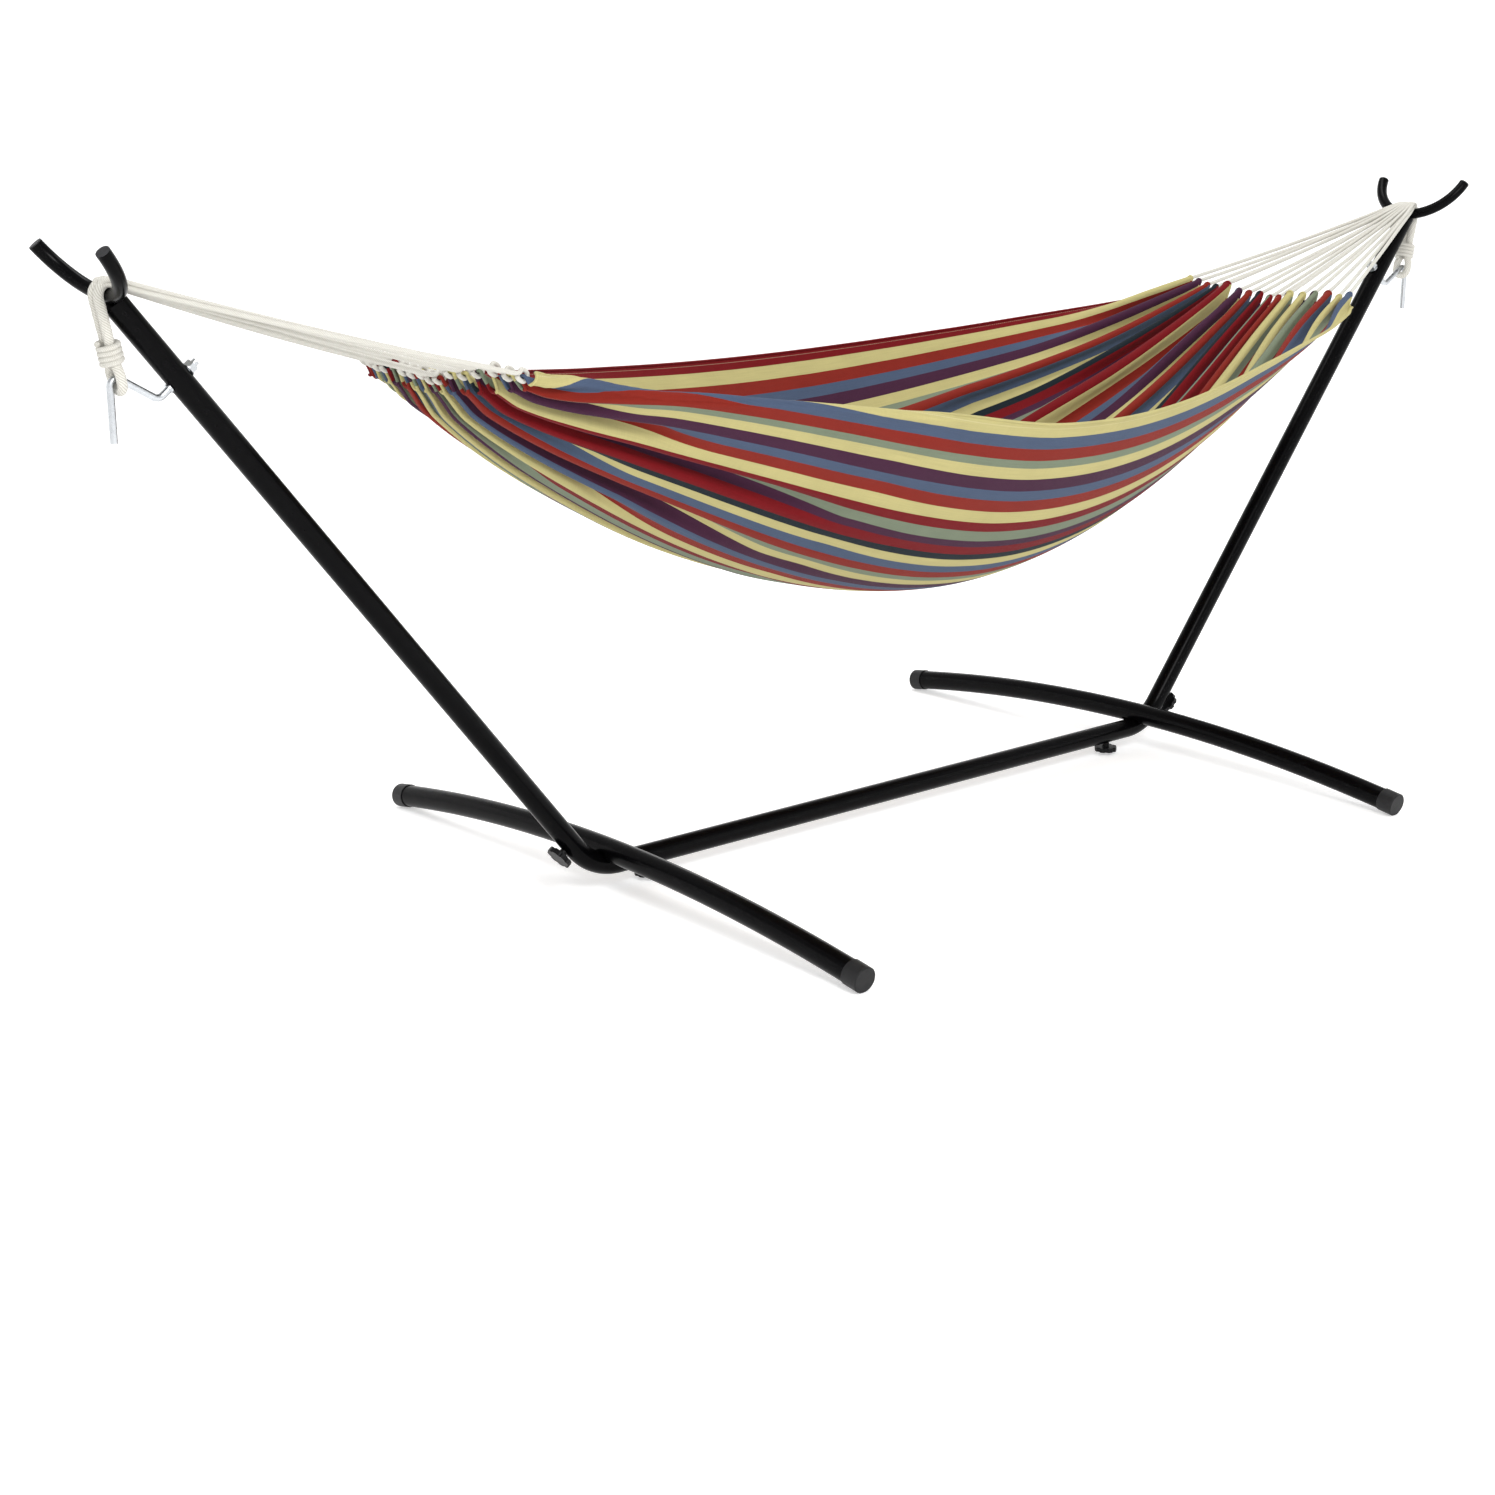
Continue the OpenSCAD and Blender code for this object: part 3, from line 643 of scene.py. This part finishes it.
def loop_path(side):
    """Over the cradle, down one strand, round the eye and back up the other strand."""
    turn = np.linspace(math.pi / 2 + 0.1, -ROPE_LEAN, 24)
    arc = CRADLE + ROPE_TURN_R * np.stack([np.cos(turn), np.sin(turn)], 1)
    arc_y = np.full(len(arc), ROPE_D / 2 + 0.0002)
    h = np.linspace(0.002, ROPE_LENGTH, 60)
    straight = ROPE_START + h[:, None] * ROPE_DOWN
    bottom = WHIPPING_TOP + WHIPPING_LENGTH
    y = (ROPE_D / 2 + 0.0002) - 0.0010 * smooth(0.03, WHIPPING_TOP, h)
    y = y + 0.0030 * smooth(WHIPPING_TOP + 0.012, bottom, h)
    y = y + 0.0038 * smooth(bottom - 0.004, bottom + 0.008, h)
    swing = np.linspace(0, math.pi, 40)[1:-1]
    eye = ROPE_START + (ROPE_LENGTH + y[-1] * np.sin(swing))[:, None] * ROPE_DOWN
    eye_y = y[-1] * np.cos(swing)
    half = np.vstack([arc, straight])
    half_y = np.r_[arc_y, y]
    line = np.vstack([half, eye, half[::-1]])
    line_y = np.r_[half_y, eye_y, -half_y[::-1]]
    return at_side(side, line[:, 0], line_y, line[:, 1])


def whipping_path(side):
    """Five turns of a thinner cord wound round both strands."""
    pitch = WHIPPING_LENGTH / WHIPPING_TURNS
    turns = WHIPPING_TURNS - 0.55
    t = np.linspace(0, turns, 260)
    h = WHIPPING_TOP + pitch * (0.5 + t * (WHIPPING_TURNS - 1) / turns)
    middle = ROPE_START + h[:, None] * ROPE_DOWN
    outward = np.array([ROPE_DOWN[1], -ROPE_DOWN[0]])
    x = middle + (0.0128 * np.cos(2 * math.pi * t))[:, None] * -outward
    return at_side(side, x[:, 0], 0.0148 * np.sin(2 * math.pi * t), x[:, 1])


def make_loop_rope(side):
    path = resample(loop_path(side), 0.0015)
    rope = tube(f"loop_rope_{side}_strands", path, laid_rope(ROPE_D, 7, 0.11, 0.16), 28, THICK_ROPE)
    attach(rope, "stand")
    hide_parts(f"loop_rope_{side}", f"rope_eye_{side}")

    whip = tube(f"whipping_{side}_turns", resample(whipping_path(side), 0.0012),
                laid_rope(0.0078, 4, 0.020), 16, MATERIALS["cotton_rope"])
    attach(whip, "stand")
    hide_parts(f"whipping_{side}")


def cord_ends(side):
    """Where each cord meets its pleat at the gathered edge, a little inside the fold."""
    row = grid[-1] if side == "right" else grid[0]
    inner = grid[-5] if side == "right" else grid[4]
    columns = np.searchsorted(pleat_place(ACROSS), np.arange(CORDS) + 0.5)
    return row[columns], inner[columns]


# The loop round the gathered edge, as offsets outwards and upwards from the edge
LOOP = [(0.009, 0.004), (0.001, 0.0085), (-0.007, 0.004), (-0.0075, -0.004), (-0.001, -0.0080),
        (0.006, -0.0045), (0.009, 0.000)]


def cord_path(side, k, end, inside):
    """From inside the strands, over the cradle in two layers and straight to the pleat.

    At the left end the cord goes round the gathered edge, and at the right end on into the fold.
    """
    row = k % 2
    y = (k // 2 - (CORDS / 2 - 1) / 2) * 0.0072
    start_turn, top_turn, leave_turn = math.radians(38), math.radians(78), math.radians(112)
    between_turn = (start_turn + top_turn) / 2
    rings = [
        (start_turn, ROPE_TURN_R, math.copysign(0.0065, y) + 0.12 * y),
        (between_turn, ROPE_TURN_R + (0.004 if row else -0.001), 0.30 * y + math.copysign(0.003, y)),
        (top_turn, (0.0205 if row else 0.0142), 0.52 * y),
        (leave_turn, (0.0210 if row else 0.0143), 0.70 * y),
    ]
    sign = SIDES[side]
    over = [(sign * (CRADLE[0] + r * math.cos(a)), w, CRADLE[1] + r * math.sin(a)) for a, r, w in rings]
    first = np.array(over[-1])
    if side == "left":
        last = [end + (out * sign, 0, up) for out, up in LOOP]
    else:
        end = end - np.array([0, 0, 0.004])
        last = [end, end + (inside - (0, 0, 0.007) - end) * 0.6]
    end = last[0]
    along = end - first
    sag = 0.004
    straight = []
    for t in (0.06, 0.2, 0.4, 0.6, 0.8, 0.94):
        p = first + along * t
        p[2] -= sag * 4 * t * (1 - t)
        p[1] += 0.10 * y * math.exp(-t * 12)
        straight.append(p)
    return catmull([*over, *straight, *last], 14)


def make_clew(side):
    ends, insides = cord_ends(side)
    for k in range(CORDS):
        path = resample(cord_path(side, k, ends[k], insides[k]), 0.0016)
        cord = tube(f"clew_cord_{side}_{k + 1}", path, laid_rope(CORD_D, 4, 0.020 + 0.0004 * (k % 3)), 16,
                    MATERIALS["cotton_rope"])
        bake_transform(cord)
        if k == 0:
            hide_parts(f"clew_cords_{side}")


for side in SIDES:
    make_loop_rope(side)
    make_clew(side)

# ---- Floor and light ----


def make_floor():
    """A plain pale floor that curves up far away, so that no horizon shows."""
    rings = [(0.001, 0.0), (4, 0.0), (8, 0.0), (11, 0.0), (12.5, 0.12), (13.6, 0.5), (14.3, 1.1), (14.7, 2.0),
             (14.8, 3.2), (14.8, 5.0), (14.8, 7.5)]
    sides = 96
    points, faces = [], []
    for radius, height in rings:
        for k in range(sides):
            a = 2 * math.pi * k / sides
            points.append((radius * math.cos(a), radius * math.sin(a), height - 0.0005))
    for i in range(len(rings) - 1):
        for k in range(sides):
            n = (k + 1) % sides
            faces.append((i * sides + k, i * sides + n, (i + 1) * sides + n, (i + 1) * sides + k))
    m = Material("floor", srgb("f2f2f2"), 0.8, Specular_IOR_Level=0.1)
    m.link(m.mix(m.noise(m.place(), 2.0), srgb("f0f0f0"), srgb("f4f4f4")), "Base Color")
    m.set("Emission Color", (1, 1, 1, 1))
    m.set("Emission Strength", 0.42)
    floor = make_mesh("floor", np.array(points), np.array(faces), np.zeros((len(points), 2)), m.material)


def area_light(name, place, target, size, power):
    data = bpy.data.lights.new(name, "AREA")
    data.shape = "RECTANGLE"
    data.size, data.size_y = size
    data.energy = power
    light = bpy.data.objects.new(name, data)
    SCENE.collection.objects.link(light)
    light.location = place
    light.rotation_euler = (Vector(target) - Vector(place)).to_track_quat("-Z", "Y").to_euler()


def make_lights():
    world = bpy.data.worlds.new("studio")
    world.use_nodes = True
    background = world.node_tree.nodes["Background"]
    background.inputs["Color"].default_value = (1, 1, 1, 1)
    background.inputs["Strength"].default_value = 0.66
    SCENE.world = world
    middle = (0, 0, 0.5)
    area_light("key", (-2.2, -4.2, 4.0), middle, (1.6, 1.6), 150)
    area_light("top", (0.5, 0.8, 4.6), middle, (3.2, 1.4), 90)


make_floor()
make_lights()
SCENE.view_settings.view_transform = "Standard"
